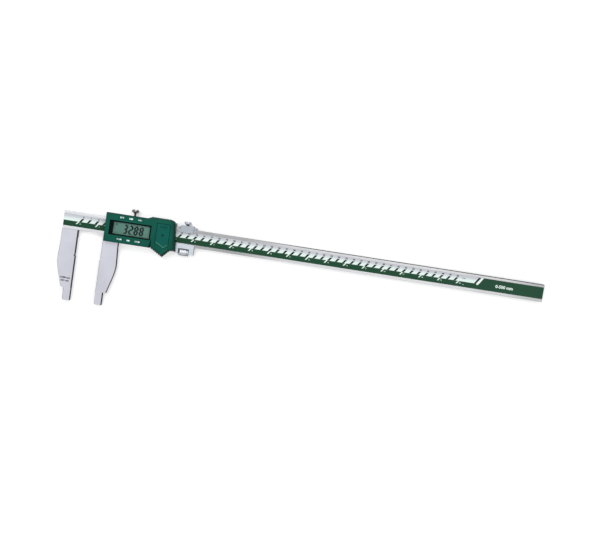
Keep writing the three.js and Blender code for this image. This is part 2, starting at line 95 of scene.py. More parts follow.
# Painted reflection: a pale greenish sheen on the lower part of the label.
REFLECTION_SILVER = (0.60, 0.70, 0.67)
INK = (0.004, 0.005, 0.005)
LIGHT_INK = (0.66, 0.76, 0.70)
WHITE_INK = (0.85, 0.90, 0.88)
SEGMENT = (0.004, 0.010, 0.008)
BLACK = (0.001, 0.003, 0.003)
LCD = (0.095, 0.205, 0.165)
RUBBER = (0.02, 0.02, 0.02)
CLEAR = (0.05, 0.06, 0.06)
FLOOR = (0.72, 0.72, 0.72)
FLOOR_GLOW = 0.30
STUDIO_GLOW = 0.88

# Painted reflection bands along an axis: each stop is a place in metres and a share.
BEAM_REFLECTION_BANDS = (
    "X",
    (
        (-0.28, 1.0),
        (-0.19, 0.8),
        (-0.14, 0.56),
        (-0.08, 0.56),
        (-0.03, 0.85),
        (0.07, 0.82),
        (0.31, 0.36),
    ),
)
# Painted reflection bands across the carriage, along Y.
CARRIAGE_REFLECTION_BANDS = ("Y", ((0.018, 1.0), (0.030, 1.0), (0.046, 0.69), (0.057, 0.69)))
# Along X, where the painted dark reflection on the beam's upper chamfer starts and where it is full.
CHAMFER_REFLECTION_START = -0.10
CHAMFER_REFLECTION_FULL = 0.0

# Finish of the surfaces.
DULL = 0.85
DULL_SPECULAR = 0.05
PRINT_SPECULAR = 0.15
PLASTIC_SPECULAR = 0.06
WINDOW_SPECULAR = 0.2
WINDOW_ALPHA = 0.035
FLOOR_SPECULAR = 0.1

# ---------------------------------------------------------------- material helpers


def new_material(name, roughness, metallic=0.0):
    material = bpy.data.materials.new(name)
    material.use_nodes = True
    tree = material.node_tree
    shader = tree.nodes["Principled BSDF"]
    shader.inputs["Roughness"].default_value = roughness
    shader.inputs["Metallic"].default_value = metallic
    return material, tree, shader


def coordinates(tree, stretch=(1, 1, 1)):
    source = tree.nodes.new("ShaderNodeTexCoord")
    mapping = tree.nodes.new("ShaderNodeMapping")
    mapping.inputs["Scale"].default_value = stretch
    tree.links.new(source.outputs["Object"], mapping.inputs["Vector"])
    return mapping.outputs["Vector"]


def noise(tree, vector, scale, detail=3.0, rough=0.6):
    node = tree.nodes.new("ShaderNodeTexNoise")
    node.inputs["Scale"].default_value = scale
    node.inputs["Detail"].default_value = detail
    node.inputs["Roughness"].default_value = rough
    tree.links.new(vector, node.inputs["Vector"])
    return node.outputs["Fac"]


def spread(tree, value, low, high, start=0.3, end=0.7):
    node = tree.nodes.new("ShaderNodeMapRange")
    node.inputs["From Min"].default_value = start
    node.inputs["From Max"].default_value = end
    node.inputs["To Min"].default_value = low
    node.inputs["To Max"].default_value = high
    tree.links.new(value, node.inputs["Value"])
    return node.outputs["Result"]


def blend_colours(tree, factor, first, second):
    node = tree.nodes.new("ShaderNodeMix")
    node.data_type = "RGBA"
    tree.links.new(factor, node.inputs["Factor"])
    for value, socket in ((first, node.inputs[6]), (second, node.inputs[7])):
        if isinstance(value, tuple):
            socket.default_value = (*value, 1)
        else:
            tree.links.new(value, socket)
    return node.outputs[2]


def blend_values(tree, factor, first, second):
    node = tree.nodes.new("ShaderNodeMix")
    tree.links.new(factor, node.inputs["Factor"])
    for value, socket in ((first, node.inputs[2]), (second, node.inputs[3])):
        if isinstance(value, float):
            socket.default_value = value
        else:
            tree.links.new(value, socket)
    return node.outputs[0]


def shade(colour, share):
    return tuple(channel * share for channel in colour)


def bump(tree, shader, height, depth, strength=1.0):
    node = tree.nodes.new("ShaderNodeBump")
    node.inputs["Distance"].default_value = depth
    node.inputs["Strength"].default_value = strength
    tree.links.new(height, node.inputs["Height"])
    tree.links.new(node.outputs["Normal"], shader.inputs["Normal"])


def normal_part(tree, axis):
    """One part of the piece's own surface normal."""
    source = tree.nodes.new("ShaderNodeTexCoord")
    split = tree.nodes.new("ShaderNodeSeparateXYZ")
    tree.links.new(source.outputs["Normal"], split.inputs["Vector"])
    return split.outputs[axis]


def flank_share(tree, steep=0.35, level=0.8):
    """1 where a face is steeper than one limit, 0 where it is more level than the other; the
    limits are the Z part of the normal."""
    size = tree.nodes.new("ShaderNodeMath")
    size.operation = "ABSOLUTE"
    tree.links.new(normal_part(tree, "Z"), size.inputs[0])
    return spread(tree, size.outputs["Value"], 1.0, 0.0, steep, level)


def end_share(tree):
    """1 on the faces that look along X, either way: where the steel gets its painted dark reflection.
    """
    size = tree.nodes.new("ShaderNodeMath")
    size.operation = "ABSOLUTE"
    tree.links.new(normal_part(tree, "X"), size.inputs[0])
    return spread(tree, size.outputs["Value"], 0.0, 1.0, 0.2, 0.5)


def multiplied(tree, first, second):
    node = tree.nodes.new("ShaderNodeMath")
    node.operation = "MULTIPLY"
    tree.links.new(first, node.inputs[0])
    tree.links.new(second, node.inputs[1])
    return node.outputs["Value"]


def upper_chamfer_share(tree):
    """1 on the chamfers between +Y and +Z, fading out towards the jaws: where the beam gets its
    painted dark reflection.
    """
    split = tree.nodes.new("ShaderNodeSeparateXYZ")
    tree.links.new(coordinates(tree), split.inputs["Vector"])
    tilt = multiplied(tree, normal_part(tree, "Y"), normal_part(tree, "Z"))
    along = spread(tree, split.outputs["X"], 0.0, 1.0, CHAMFER_REFLECTION_START, CHAMFER_REFLECTION_FULL)
    return multiplied(tree, spread(tree, tilt, 0.0, 1.0, 0.1, 0.3), along)


# ---------------------------------------------------------------- materials

def tone_along(tree, axis, stops):
    """A painted reflection band pattern along an axis; each stop is a place in metres and a share."""
    first, last = stops[0][0], stops[-1][0]
    split = tree.nodes.new("ShaderNodeSeparateXYZ")
    tree.links.new(coordinates(tree), split.inputs["Vector"])
    ramp = tree.nodes.new("ShaderNodeValToRGB")
    tree.links.new(spread(tree, split.outputs[axis], 0.0, 1.0, first, last), ramp.inputs["Fac"])
    for place, share in stops[1:-1]:
        ramp.color_ramp.elements.new((place - first) / (last - first))
    for element, (place, share) in zip(ramp.color_ramp.elements, stops):
        element.color = (share, share, share, 1)
    return ramp.outputs["Color"]


def steel(name, colour, roughness, grain=(40, 1400, 1400), dark=None, sides=flank_share, reflection_bands=None):
    """Ground or satin steel: fine lines along the grain, faint smudges, a painted dark reflection on
    the chosen sides and, given tone stops, painted reflection bands that change along an axis."""
    material, tree, shader = new_material(name, roughness, 1.0)
    lines = noise(tree, coordinates(tree, grain), 1.0, 4.0)
    smudge = noise(tree, coordinates(tree), 28.0, 4.0)
    face = blend_colours(tree, spread(tree, lines, 0, 1), shade(colour, 0.93), shade(colour, 1.05))
    smudge_and_reflection = blend_colours(tree, spread(tree, smudge, 0, 1, 0.35, 0.75), face, shade(colour, 0.97))
    # Painted reflection bands: the colour is multiplied by a share that changes along an axis.
    if reflection_bands:
        reflection_banded = tree.nodes.new("ShaderNodeMix")
        reflection_banded.data_type = "RGBA"
        reflection_banded.blend_type = "MULTIPLY"
        reflection_banded.inputs["Factor"].default_value = 1.0
        tree.links.new(smudge_and_reflection, reflection_banded.inputs[6])
        tree.links.new(tone_along(tree, *reflection_bands), reflection_banded.inputs[7])
        smudge_and_reflection = reflection_banded.outputs[2]
    polish = spread(tree, smudge, roughness - 0.05, roughness + 0.07)
    # Painted dark reflection: on the chosen sides the steel turns dark, rough and non-metallic.
    if dark:
        share = sides(tree)
        smudge_and_reflection = blend_colours(tree, share, smudge_and_reflection, dark)
        polish = blend_values(tree, share, polish, DULL)
        tree.links.new(blend_values(tree, share, 1.0, 0.0), shader.inputs["Metallic"])
        shader.inputs["Specular IOR Level"].default_value = DULL_SPECULAR
    tree.links.new(smudge_and_reflection, shader.inputs["Base Color"])
    tree.links.new(polish, shader.inputs["Roughness"])
    bump(tree, shader, lines, 0.012 * MM, 0.6)
    return material


def moulded(name, colour, roughness, depth=0.03 * MM, painted_flank_shade=True):
    """Moulded plastic: fine spark-eroded grain, a little colour drift, painted shade on bevels and
    steep faces.
    """
    material, tree, shader = new_material(name, roughness)
    place = coordinates(tree)
    grain = noise(tree, place, 2600.0, 2.0)
    drift = noise(tree, place, 45.0, 3.0)
    tone = blend_colours(tree, spread(tree, drift, 0, 1), shade(colour, 0.90), shade(colour, 1.10))
    flecked_and_shaded = blend_colours(tree, spread(tree, grain, 0, 0.35, 0.55, 0.8), tone, shade(colour, 1.35))
    # Painted shade: bevels and steep faces turn darker by how far they tilt from the front.
    if painted_flank_shade:
        sloped_shade = blend_colours(tree, flank_share(tree, 0.94, 0.9995), flecked_and_shaded, shade(colour, 0.40))
        rim_shade = blend_colours(tree, flank_share(tree, 0.75, 0.93), sloped_shade, shade(colour, 0.12))
        flecked_and_shaded = blend_colours(tree, flank_share(tree, 0.1, 0.3), rim_shade, shade(colour, 0.35))
    tree.links.new(flecked_and_shaded, shader.inputs["Base Color"])
    tree.links.new(spread(tree, grain, roughness - 0.06, roughness + 0.08), shader.inputs["Roughness"])
    shader.inputs["Specular IOR Level"].default_value = PLASTIC_SPECULAR
    bump(tree, shader, grain, depth, 0.5)
    return material


def printed(name, colour, roughness, reflection_fade=None):
    """Ink or foil: nearly even, with slight pinholes and gloss changes. The optional second colour
    is a painted reflection, given with the Y where it is full and the Y where it has gone."""
    material, tree, shader = new_material(name, roughness)
    place = coordinates(tree)
    fine = noise(tree, place, 1800.0, 2.0)
    broad = noise(tree, place, 22.0, 3.0)
    tone = blend_colours(tree, spread(tree, broad, 0, 1), shade(colour, 0.94), shade(colour, 1.05))
    if reflection_fade:
        second, full, gone = reflection_fade
        split = tree.nodes.new("ShaderNodeSeparateXYZ")
        tree.links.new(place, split.inputs["Vector"])
        share = spread(tree, split.outputs["Y"], 1.0, 0.0, full, gone)
        tone = blend_colours(tree, share, tone, second)
    tree.links.new(
        blend_colours(tree, spread(tree, fine, 0, 0.3, 0.6, 0.8), tone, shade(colour, 0.80)),
        shader.inputs["Base Color"],
    )
    tree.links.new(spread(tree, broad, roughness - 0.04, roughness + 0.06), shader.inputs["Roughness"])
    shader.inputs["Specular IOR Level"].default_value = PRINT_SPECULAR
    return material


def display_material():
    """Reflective LCD: grey-green with faint row lines and a soft cloud."""
    material, tree, shader = new_material("lcd_face", 0.28)
    rows = noise(tree, coordinates(tree, (30, 2600, 30)), 1.0, 1.0)
    cloud = noise(tree, coordinates(tree), 60.0, 2.0)
    tone = blend_colours(tree, spread(tree, cloud, 0, 1), shade(LCD, 0.93), shade(LCD, 1.07))
    lined = blend_colours(tree, spread(tree, rows, 0, 0.4), tone, shade(LCD, 0.9))
    tree.links.new(lined, shader.inputs["Base Color"])
    tree.links.new(spread(tree, cloud, 0.24, 0.34), shader.inputs["Roughness"])
    shader.inputs["Specular IOR Level"].default_value = PRINT_SPECULAR
    return material


def window_material():
    """Clear moulded window, seen through, with a faint haze of fine scratches."""
    material, tree, shader = new_material("window_clear", 0.06)
    scratches = noise(tree, coordinates(tree, (200, 3000, 200)), 1.0, 4.0)
    tree.links.new(
        blend_colours(tree, spread(tree, scratches, 0, 1), CLEAR, shade(CLEAR, 0.9)),
        shader.inputs["Base Color"],
    )
    tree.links.new(spread(tree, scratches, 0.04, 0.12), shader.inputs["Roughness"])
    shader.inputs["Specular IOR Level"].default_value = WINDOW_SPECULAR
    shader.inputs["Alpha"].default_value = WINDOW_ALPHA
    return material


def board_material():
    """Solder-masked laminate with raised copper runs under the mask."""
    material, tree, shader = new_material("board_mask", 0.45)
    cells = tree.nodes.new("ShaderNodeTexVoronoi")
    cells.distance = "CHEBYCHEV"
    cells.feature = "DISTANCE_TO_EDGE"
    cells.inputs["Scale"].default_value = 380.0
    tree.links.new(coordinates(tree), cells.inputs["Vector"])
    runs = spread(tree, cells.outputs["Distance"], 1, 0, 0.05, 0.12)
    tree.links.new(
        blend_colours(tree, runs, BOARD_GREEN, shade(BOARD_GREEN, 1.9)), shader.inputs["Base Color"]
    )
    bump(tree, shader, runs, 0.02 * MM)
    return material


bright_steel = steel("satin_steel", BRIGHT_STEEL, 0.34, (1400, 40, 1400), SIDE_REFLECTION_DARK, end_share)
beam_steel = steel(
    "ground_steel_beam", LAND_STEEL, 0.30,
    dark=CHAMFER_REFLECTION_DARK, sides=upper_chamfer_share, reflection_bands=BEAM_REFLECTION_BANDS,
)
carriage_steel = steel(
    "carriage_steel", CARRIAGE_STEEL, 0.32,
    dark=SIDE_REFLECTION_DARK, sides=end_share, reflection_bands=CARRIAGE_REFLECTION_BANDS,
)
# The nut's steep sides get the painted dark reflection along its outline.
nut_steel = steel("turned_steel_bright", NUT_STEEL, 0.36, (1400, 60, 60), SIDE_REFLECTION_DARK)
cell_steel = steel("cell_steel", NUT_STEEL, 0.28)
knob_steel = steel("turned_steel_dark", KNOB_STEEL, 0.30, (60, 1400, 60))
# Carriage steel darkened to match the painted reflection band at the carriage's upper end.
carriage_knob_reflection_steel = steel("turned_steel_reflection_grey", shade(CARRIAGE_STEEL, 0.66), 0.28, (60, 1400, 60))
thread_steel = steel("thread_steel", THREAD_STEEL, 0.35, (1400, 60, 60))
brass = steel("rolled_brass", BRASS, 0.32)
green = moulded("green_plastic", GREEN, 0.40)
cover_green = moulded("green_cover_plastic", COVER_GREEN, 0.44)
mark_green = moulded("green_mark_plastic", shade(COVER_GREEN, 0.4), 0.44, painted_flank_shade=False)
lip_highlight_green = moulded("green_lip_highlight_plastic", LIP_HIGHLIGHT_GREEN, 0.44, painted_flank_shade=False)
button_green = moulded("green_button_plastic", shade(GREEN, 1.2), 0.46)
black = moulded("black_plastic", BLACK, 0.20, 0.01 * MM, painted_flank_shade=False)
rubber = moulded("soft_rubber", RUBBER, 0.75, painted_flank_shade=False)
# The label's painted reflection: full up to 13.5 mm above the beam's lower edge, gone by 17.5 mm.
silver_reflection_fade = (REFLECTION_SILVER, BEAM_LOW.y + 13.5 * MM, BEAM_LOW.y + 17.5 * MM)
silver = printed("label_silver", SILVER, 0.34, reflection_fade=silver_reflection_fade)
stripe = printed("label_green", STRIPE_GREEN, 0.36)
ink = printed("ink_dark", INK, 0.40)
light_ink = printed("ink_light", LIGHT_INK, 0.45)
white_ink = printed("ink_white", WHITE_INK, 0.45)
segment_ink = printed("lcd_segment", SEGMENT, 0.35)
lcd_face = display_material()
window_clear = window_material()
board_mask = board_material()

# ---------------------------------------------------------------- mesh helpers


def finish_piece(piece, material, body):
    piece.data.materials.clear()
    piece.data.materials.append(material)
    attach(piece, body)
    return piece


def new_piece(name, data):
    piece = bpy.data.objects.new(name, data)
    bpy.context.scene.collection.objects.link(piece)
    return piece


def mesh_piece(name, made, material, body, smooth_angle=None):
    mesh = bpy.data.meshes.new(name)
    made.to_mesh(mesh)
    made.free()
    if smooth_angle:
        mesh.shade_smooth()
        mesh.set_sharp_from_angle(angle=math.radians(smooth_angle))
    return finish_piece(new_piece(name, mesh), material, body)


def node_body(node):
    bodies = frame["record"]["behaviour"]["bodies"]
    return next(body for body, nodes in bodies.items() if node in nodes)


def fine_copy(node, material, width, segments=2, angle=32):
    """A welded copy of a CAD node with small rounds on its edges; it stands for the node."""
    made = bmesh.new()
    made.from_mesh(frame["nodes"][node].data)
    bmesh.ops.remove_doubles(made, verts=made.verts, dist=2e-6)
    bmesh.ops.dissolve_limit(
        made, angle_limit=math.radians(0.5), verts=made.verts, edges=made.edges
    )
    bare = bpy.data.meshes.new(node + "_fine")
    bare.from_pydata(
        [v.co[:] for v in made.verts], [], [[v.index for v in f.verts] for f in made.faces]
    )
    made.free()
    bare.shade_smooth()
    bare.set_sharp_from_angle(angle=math.radians(angle))
    piece = new_piece(node + "_fine", bare)
    finish_piece(piece, material, node_body(node))
    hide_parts(node)
    rounds = piece.modifiers.new("rounds", "BEVEL")
    rounds.width = width
    rounds.segments = segments
    rounds.limit_method = "ANGLE"
    rounds.angle_limit = math.radians(angle)
    rounds.harden_normals = True
    return piece


def paint(material, *nodes):
    for node in nodes:
        frame["nodes"][node].data.materials.clear()
        frame["nodes"][node].data.materials.append(material)


def prism(made, points, low, high):
    """A thin closed plate from an outline in X and Y."""
    bottom = [made.verts.new((x, y, low)) for x, y in points]
    top = [made.verts.new((x, y, high)) for x, y in points]
    made.faces.new(list(reversed(bottom)))
    made.faces.new(top)
    count = len(points)
    for i in range(count):
        j = (i + 1) % count
        made.faces.new((bottom[i], bottom[j], top[j], top[i]))


def rectangle(made, x0, x1, y0, y1, low, high):
    """A thin closed plate between two X and two Y."""
    prism(made, [(x0, y0), (x1, y0), (x1, y1), (x0, y1)], low, high)


def lettering(made, text, height, x, y, low, weight=0.0):
    """Numerals in the built-in font, as thin solids centred on x and y."""
    curve = bpy.data.curves.new("text", "FONT")
    curve.body = text
    curve.size = 1.0
    curve.resolution_u = 2
    curve.offset = weight
    curve.extrude = 0.5
    holder = new_piece("text", curve)
    graph = bpy.context.evaluated_depsgraph_get()
    mesh = bpy.data.meshes.new_from_object(holder.evaluated_get(graph))
    low_x, high_x = (f(v.co.x for v in mesh.vertices) for f in (min, max))
    low_y, high_y = (f(v.co.y for v in mesh.vertices) for f in (min, max))
    scale = height / (high_y - low_y)
    middle = Matrix.Translation((-(low_x + high_x) / 2, -(low_y + high_y) / 2, 0))
    grow = Matrix.Diagonal((scale, scale, LAYER, 1))
    mesh.transform(Matrix.Translation((x, y, low + LAYER / 2)) @ grow @ middle)
    made.from_mesh(mesh)
    bpy.data.objects.remove(holder)
    bpy.data.curves.remove(curve)
    bpy.data.meshes.remove(mesh)


def turn(profile, axis, centre, segments=48, wave=None):
    """A turned solid. profile is (radius, height, knurl share) from end to end along the axis."""
    made = bmesh.new()
    rings = []
    for radius, height, share in profile:
        ring = []
        for i in range(segments):
            turned = 2 * math.pi * i / segments
            r = radius + (wave(turned, height) * share if wave else 0)
            side, depth = r * math.cos(turned), r * math.sin(turned)
            offset = (height, side, depth) if axis == "x" else (side, height, depth)
            ring.append(made.verts.new(Vector(offset) + centre))
        rings.append(ring)
    for first, second in zip(rings, rings[1:]):
        for i in range(segments):
            j = (i + 1) % segments
            made.faces.new((first[i], first[j], second[j], second[i]))
    return made, rings


def cap(made, ring):
    made.faces.new(ring)


def close(made):
    bmesh.ops.recalc_face_normals(made, faces=made.faces)
    return made


# ---------------------------------------------------------------- beam and printed scale


def at(x, y):
    """A point given in millimetres from the measuring face and the beam's lower edge."""
    return FACE_X + x * MM, BEAM_LOW.y + y * MM


def slash(made, foot, head, width, low):
    """A slanted printed bar with level ends, from its foot to its head."""
    half = width / 2
    corners = [
        (foot[0] - half, foot[1]),
        (foot[0] + half, foot[1]),
        (head[0] + half, head[1]),
        (head[0] - half, head[1]),
    ]
    prism(made, [at(*corner) for corner in corners], low, low + LAYER)


STRIPE_TOP = 11.0
STRIPE_BOTTOM = 3.95
LABEL_TOP = 19.55
STRIPE_LEFT = -20.8
END_LEFT = 534.6
END_RIGHT = 621.8
SLANT = 0.66
CM_MARKS = range(0, 51)
INCH_MARKS = range(0, 21)
INCH = 25.4


def slanted_x(x, y):
    """The x of a slanted line at height y, where x is its place at the stripe's top."""
    return x + (y - STRIPE_TOP) * SLANT


def printed_scale():
    face = LABEL_FRONT
    green_print = bmesh.new()
    prism(
        green_print,
        [
            at(STRIPE_LEFT, STRIPE_BOTTOM),
            at(END_RIGHT, STRIPE_BOTTOM),
            at(END_RIGHT, LABEL_TOP),
            at(slanted_x(END_LEFT, LABEL_TOP), LABEL_TOP),
            at(END_LEFT, STRIPE_TOP),
            at(STRIPE_LEFT, STRIPE_TOP),
        ],
        face,
        face + LAYER,
    )
    mesh_piece("scale_print_green", green_print, stripe, "beam")

    dark_print = bmesh.new()
    for mark in CM_MARKS:
        x = 10 * mark
        slash(dark_print, (x + 1.3, 11.1), (x + 4.6, 15.3), 3.0, face)
        lettering(dark_print, str(mark), 2.5 * MM, *at(x + 4.9, 17.4), face, weight=0.04)
    slash(dark_print, (529.4, 11.1), (slanted_x(529.4, 19.3), 19.3), 3.0, face)
    lettering(dark_print, "mm", 1.6 * MM, *at(513.6, 15.2), face)
    mesh_piece("scale_print_dark", dark_print, ink, "beam")

    light_print = bmesh.new()
    for mark in INCH_MARKS:
        x = INCH * mark
        slash(light_print, (x - 3.6, 7.5), (x - 0.8, 10.95), 1.7, face + LAYER)
        lettering(light_print, str(mark), 1.8 * MM, *at(x + 1.2, 8.3), face + LAYER)
    slash(light_print, (slanted_x(533.0, 9.6), 9.6), (slanted_x(533.0, 19.3), 19.3), 2.6, face + LAYER)
    lettering(light_print, "in", 1.5 * MM, *at(513.6, 7.2), face + LAYER)
    lettering(light_print, "0-500 mm", 4.4 * MM, *at(568.8, 11.4), face + LAYER, weight=0.03)
    mesh_piece("scale_print_light", light_print, light_ink, "beam")


def beam_parts():
    fine_copy("beam", beam_steel, 0.12 * MM)
    fine_copy("fixed_jaw", bright_steel, 0.12 * MM)
    for number in (1, 2, 3):
        fine_copy(f"jaw_rivet_{number}", beam_steel, 0.1 * MM)
    paint(silver, "scale_label")
    paint(board_mask, "scale_grid")
    paint(thread_steel, "stop_pin")
    jaw_low, jaw_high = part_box("fixed_jaw")
    made = bmesh.new()
    top = jaw_high.z
    for text, rise in (("0-500 mm", 29.9), ("0.01 mm", 26.0)):
        lettering(made, text, 2.5 * MM, FACE_X - 8.8 * MM, jaw_low.y + rise * MM, top, weight=0.05)
    mesh_piece("jaw_engraving", made, ink, "beam")


# ---------------------------------------------------------------- slider


def slider_parts():
    fine_copy("slider_frame", bright_steel, 0.12 * MM)
    fine_copy("housing", green, 0.25 * MM, 3)
    fine_copy("display_bezel", black, 0.3 * MM, 3)
    for number in (1, 2):
        fine_copy(f"gib_screw_{number}", thread_steel, 0.08 * MM)
    for number in (1, 2, 3, 4):
        fine_copy(f"housing_screw_{number}", thread_steel, 0.08 * MM)
    paint(window_clear, "display_window")
    paint(lcd_face, "lcd_panel")
    paint(brass, "battery_contact_lower", "battery_contact_side")
    paint(thread_steel, "gib_strip")
    paint(board_mask, "circuit_board", "reading_head")
    paint(rubber, "lcd_connector")
    paint(cell_steel, "coin_cell")


def battery_cover_parts():
    fine_copy("battery_cover", cover_green, 0.2 * MM, 3)
    low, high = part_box("battery_cover")
    middle = (low.x + high.x) / 2
    top = high.z
    made = bmesh.new()
    arrow_y = low.y + 0.52 * (high.y - low.y)
    prism(
        made,
        [
            (middle - 2.6 * MM, arrow_y + 1.5 * MM),
            (middle, arrow_y - 1.9 * MM),
            (middle + 2.6 * MM, arrow_y + 1.5 * MM),
        ],
        top - 0.05 * MM,
        top + 0.07 * MM,
    )
    for step in range(3):
        ridge = high.y - (3.2 + 1.1 * step) * MM
        sides = (low.x + 4 * MM, high.x - 4 * MM)
        rectangle(made, *sides, ridge, ridge + 0.4 * MM, top - 0.05 * MM, top + 0.06 * MM)
    mesh_piece("battery_cover_marks", made, mark_green, "battery_cover")
    # A lighter green band, barely proud of the cover, along its lower edge: a painted highlight.
    lip = bmesh.new()
    foot = low.y + 0.45 * MM
    rise = 6.3 * MM
    tip_x = low.x + 11.8 * MM
    edge = [(low.x + 0.9 * MM, foot + rise), (tip_x, foot), (high.x - 0.8 * MM, foot + 4.2 * MM)]
    band = [(x, y + 0.75 * MM) for x, y in reversed(edge)]
    prism(lip, edge + band, top - 0.05 * MM, top + 0.05 * MM)
    mesh_piece("battery_cover_lip_highlight", lip, lip_highlight_green, "battery_cover")


# Which of the seven segments are lit, in the order top, upper left, upper right, middle,
# lower left, lower right, bottom.
SEGMENTS = {
    "2": (1, 0, 1, 1, 1, 0, 1),
    "3": (1, 0, 1, 1, 0, 1, 1),
    "8": (1, 1, 1, 1, 1, 1, 1),
}


def lcd_digit(made, lit, left, low, width, height, stroke, floor):
    """One slanted seven-segment digit."""
    gap = 0.03 * stroke
    half = stroke / 2
    mid = low + height / 2
    lean = 0.09

    def bar(x0, y0, x1, y1):
        """A segment with pointed ends between two corners of the digit."""
        along = Vector((x1 - x0, y1 - y0)).normalized()
        across = Vector((-along.y, along.x)) * half
        start = Vector((x0, y0)) + along * gap
        end = Vector((x1, y1)) - along * gap
        corners = [
            start,
            start + along * half - across,
            end - along * half - across,
            end,
            end - along * half + across,
            start + along * half + across,
        ]
        leaned = [(c.x + (c.y - low) * lean, c.y) for c in corners]
        prism(made, leaned, floor, floor + LAYER)

    x0, x1 = left + half, left + width - half
    y0, y1 = low + half, low + height - half
    bars = (
        (x0, y1, x1, y1),
        (x0, mid, x0, y1),
        (x1, mid, x1, y1),
        (x0, mid, x1, mid),
        (x0, y0, x0, mid),
        (x1, y0, x1, mid),
        (x0, y0, x1, y0),
    )
    for shown, ends in zip(lit, bars):
        if shown:
            bar(*ends)


def lcd_reading():
    made = bmesh.new()
    floor = LCD_FRONT
    width, height, stroke, pitch = 5.9 * MM, 12.8 * MM, 2.35 * MM, 7.0 * MM
    x = SLIDER_X + 25.6 * MM
    low = BEAM_LOW.y + 4.6 * MM
    for sign in READING:
        if sign == ".":
            dot = x - 0.75 * MM
            sides = (dot - 0.5 * MM, dot + 0.5 * MM)
            rectangle(made, *sides, low, low + 1.1 * MM, floor, floor + LAYER)
        else:
            lcd_digit(made, SEGMENTS[sign], x, low, width, height, stroke, floor)
            x += pitch
    bar_x, bar_y = SLIDER_X + 17.4 * MM, BEAM_LOW.y + 15.9 * MM
    for step in (-0.7, 0.7):
        sides = (bar_x - 1.2 * MM, bar_x + 1.2 * MM)
        ends = (bar_y + (step - 0.35) * MM, bar_y + (step + 0.35) * MM)
        rectangle(made, *sides, *ends, floor, floor + LAYER)
    mesh_piece("lcd_segments", made, segment_ink, "slider")


BUTTON_MARKS = {"upper": ("0 / 1", "0.00", "+ / -"), "lower": ("1 : 10", "100", "1 / 10")}


def button_parts():
    for row, marks in BUTTON_MARKS.items():
        for number, mark in enumerate(marks, 1):
            node = f"button_{row}_{number}"
            cap_piece = fine_copy(node, button_green, 0.25 * MM, 3)
            cap_piece.data.transform(Matrix.Translation((0, 0, -2 * LAYER)))
            paint(black, f"switch_{row}_{number}")
            low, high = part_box(node)
            made = bmesh.new()
            centre = (low + high) / 2
            lettering(made, mark, 2.2 * MM, centre.x, centre.y, high.z - 2 * LAYER, weight=0.05)
            mesh_piece(f"{node}_mark", made, white_ink, node)


# ---------------------------------------------------------------- lock screws, rod and nut


def knurl(count, depth):
    return lambda turned, height: depth * (abs((turned * count / (2 * math.pi)) % 1 - 0.5) * 4 - 1)


def thread(pitch, depth):
    return lambda turned, height: depth * math.cos(2 * math.pi * height / pitch - turned)


def lock_screw(node, material, slot_width):
    """A knurled thumb screw: threaded stem, cone, knurled head with a V across its top."""
    low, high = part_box(node)
    centre = Vector(((low.x + high.x) / 2, 0, (low.z + high.z) / 2))
    radius = (high.x - low.x) / 2
    head = high.y - 5.0 * MM
    stem = 1.45 * MM
    profile = [(0.9 * MM, low.y, 0)]
    steps = int((head - low.y) / (0.25 * MM))
    for i in range(1, steps):
        ridge = 0.1 * MM if i % 2 else -0.08 * MM
        profile.append((stem - 0.1 * MM + ridge, low.y + i * (head - low.y) / steps, 0))
    profile += [
        (1.5 * MM, head, 0),
        (2.1 * MM, head + 0.1 * MM, 0),
        (radius - 1.5 * MM, head + 1.1 * MM, 0),
        (radius - 0.4 * MM, head + 1.7 * MM, 0),
        (radius - 0.13 * MM, head + 2.0 * MM, 1),
        (radius - 0.13 * MM, high.y - 1.2 * MM, 1),
        (radius - 0.35 * MM, high.y - 0.8 * MM, 0),
        (radius - 0.6 * MM, high.y - 0.3 * MM, 0),
        (radius - 1.4 * MM, high.y, 0),
    ]
    made, rings = turn(profile, "y", centre, 96, knurl(32, 0.13 * MM))
    cap(made, rings[0])
    cap(made, rings[-1])
    close(made)
    piece = mesh_piece(node + "_fine", made, material, node_body(node), 35)
    cut_across(piece, centre, high.y, radius, slot_width)
    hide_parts(node)


def cut_across(piece, centre, top, reach, width):
    """Cuts a V along Z through the head of a lock screw."""
    made = bmesh.new()
    for z in (-reach - MM, reach + MM):
        for x, y in ((-width, MM), (width, MM), (0.3 * MM, -2.9 * MM), (-0.3 * MM, -2.9 * MM)):
            made.verts.new((centre.x + x, top + y, centre.z + z))
    made.verts.ensure_lookup_table()
    verts = made.verts
    made.faces.new(verts[0:4])
    made.faces.new(verts[4:8])
    for i in range(4):
        j = (i + 1) % 4
        made.faces.new((verts[i], verts[j], verts[4 + j], verts[4 + i]))
    close(made)
    mesh = bpy.data.meshes.new("v_cut")
    made.to_mesh(mesh)
    made.free()
    tool = new_piece("v_cut", mesh)
    modifier = piece.modifiers.new("v_cut", "BOOLEAN")
    modifier.operation = "DIFFERENCE"
    modifier.object = tool
    graph = bpy.context.evaluated_depsgraph_get()
    cut = bpy.data.meshes.new_from_object(piece.evaluated_get(graph))
    piece.modifiers.clear()
    piece.data = cut
    piece.data.set_sharp_from_angle(angle=math.radians(35))
    bpy.data.objects.remove(tool)


def adjust_rod():
    """The fine-adjust rod with its thread."""
    node = "fine_adjust_rod"
    low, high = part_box(node)
    centre = Vector((0, (low.y + high.y) / 2, (low.z + high.z) / 2))
    pitch, depth = 0.5 * MM, 0.11 * MM
    radius = (high.y - low.y) / 2 - depth
    rings = int((high.x - low.x) / (pitch / 4))
    step = (high.x - low.x) / rings
    profile = [
        (radius - (0.25 * MM if i in (0, rings) else 0), low.x + i * step, 0 if i in (0, rings) else 1)
        for i in range(rings + 1)
    ]
    made, ends = turn(profile, "x", centre, 20, thread(pitch, depth))
    cap(made, ends[0])
    cap(made, ends[-1])
    piece = mesh_piece(node + "_fine", close(made), thread_steel, "slider", 50)
    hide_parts(node)


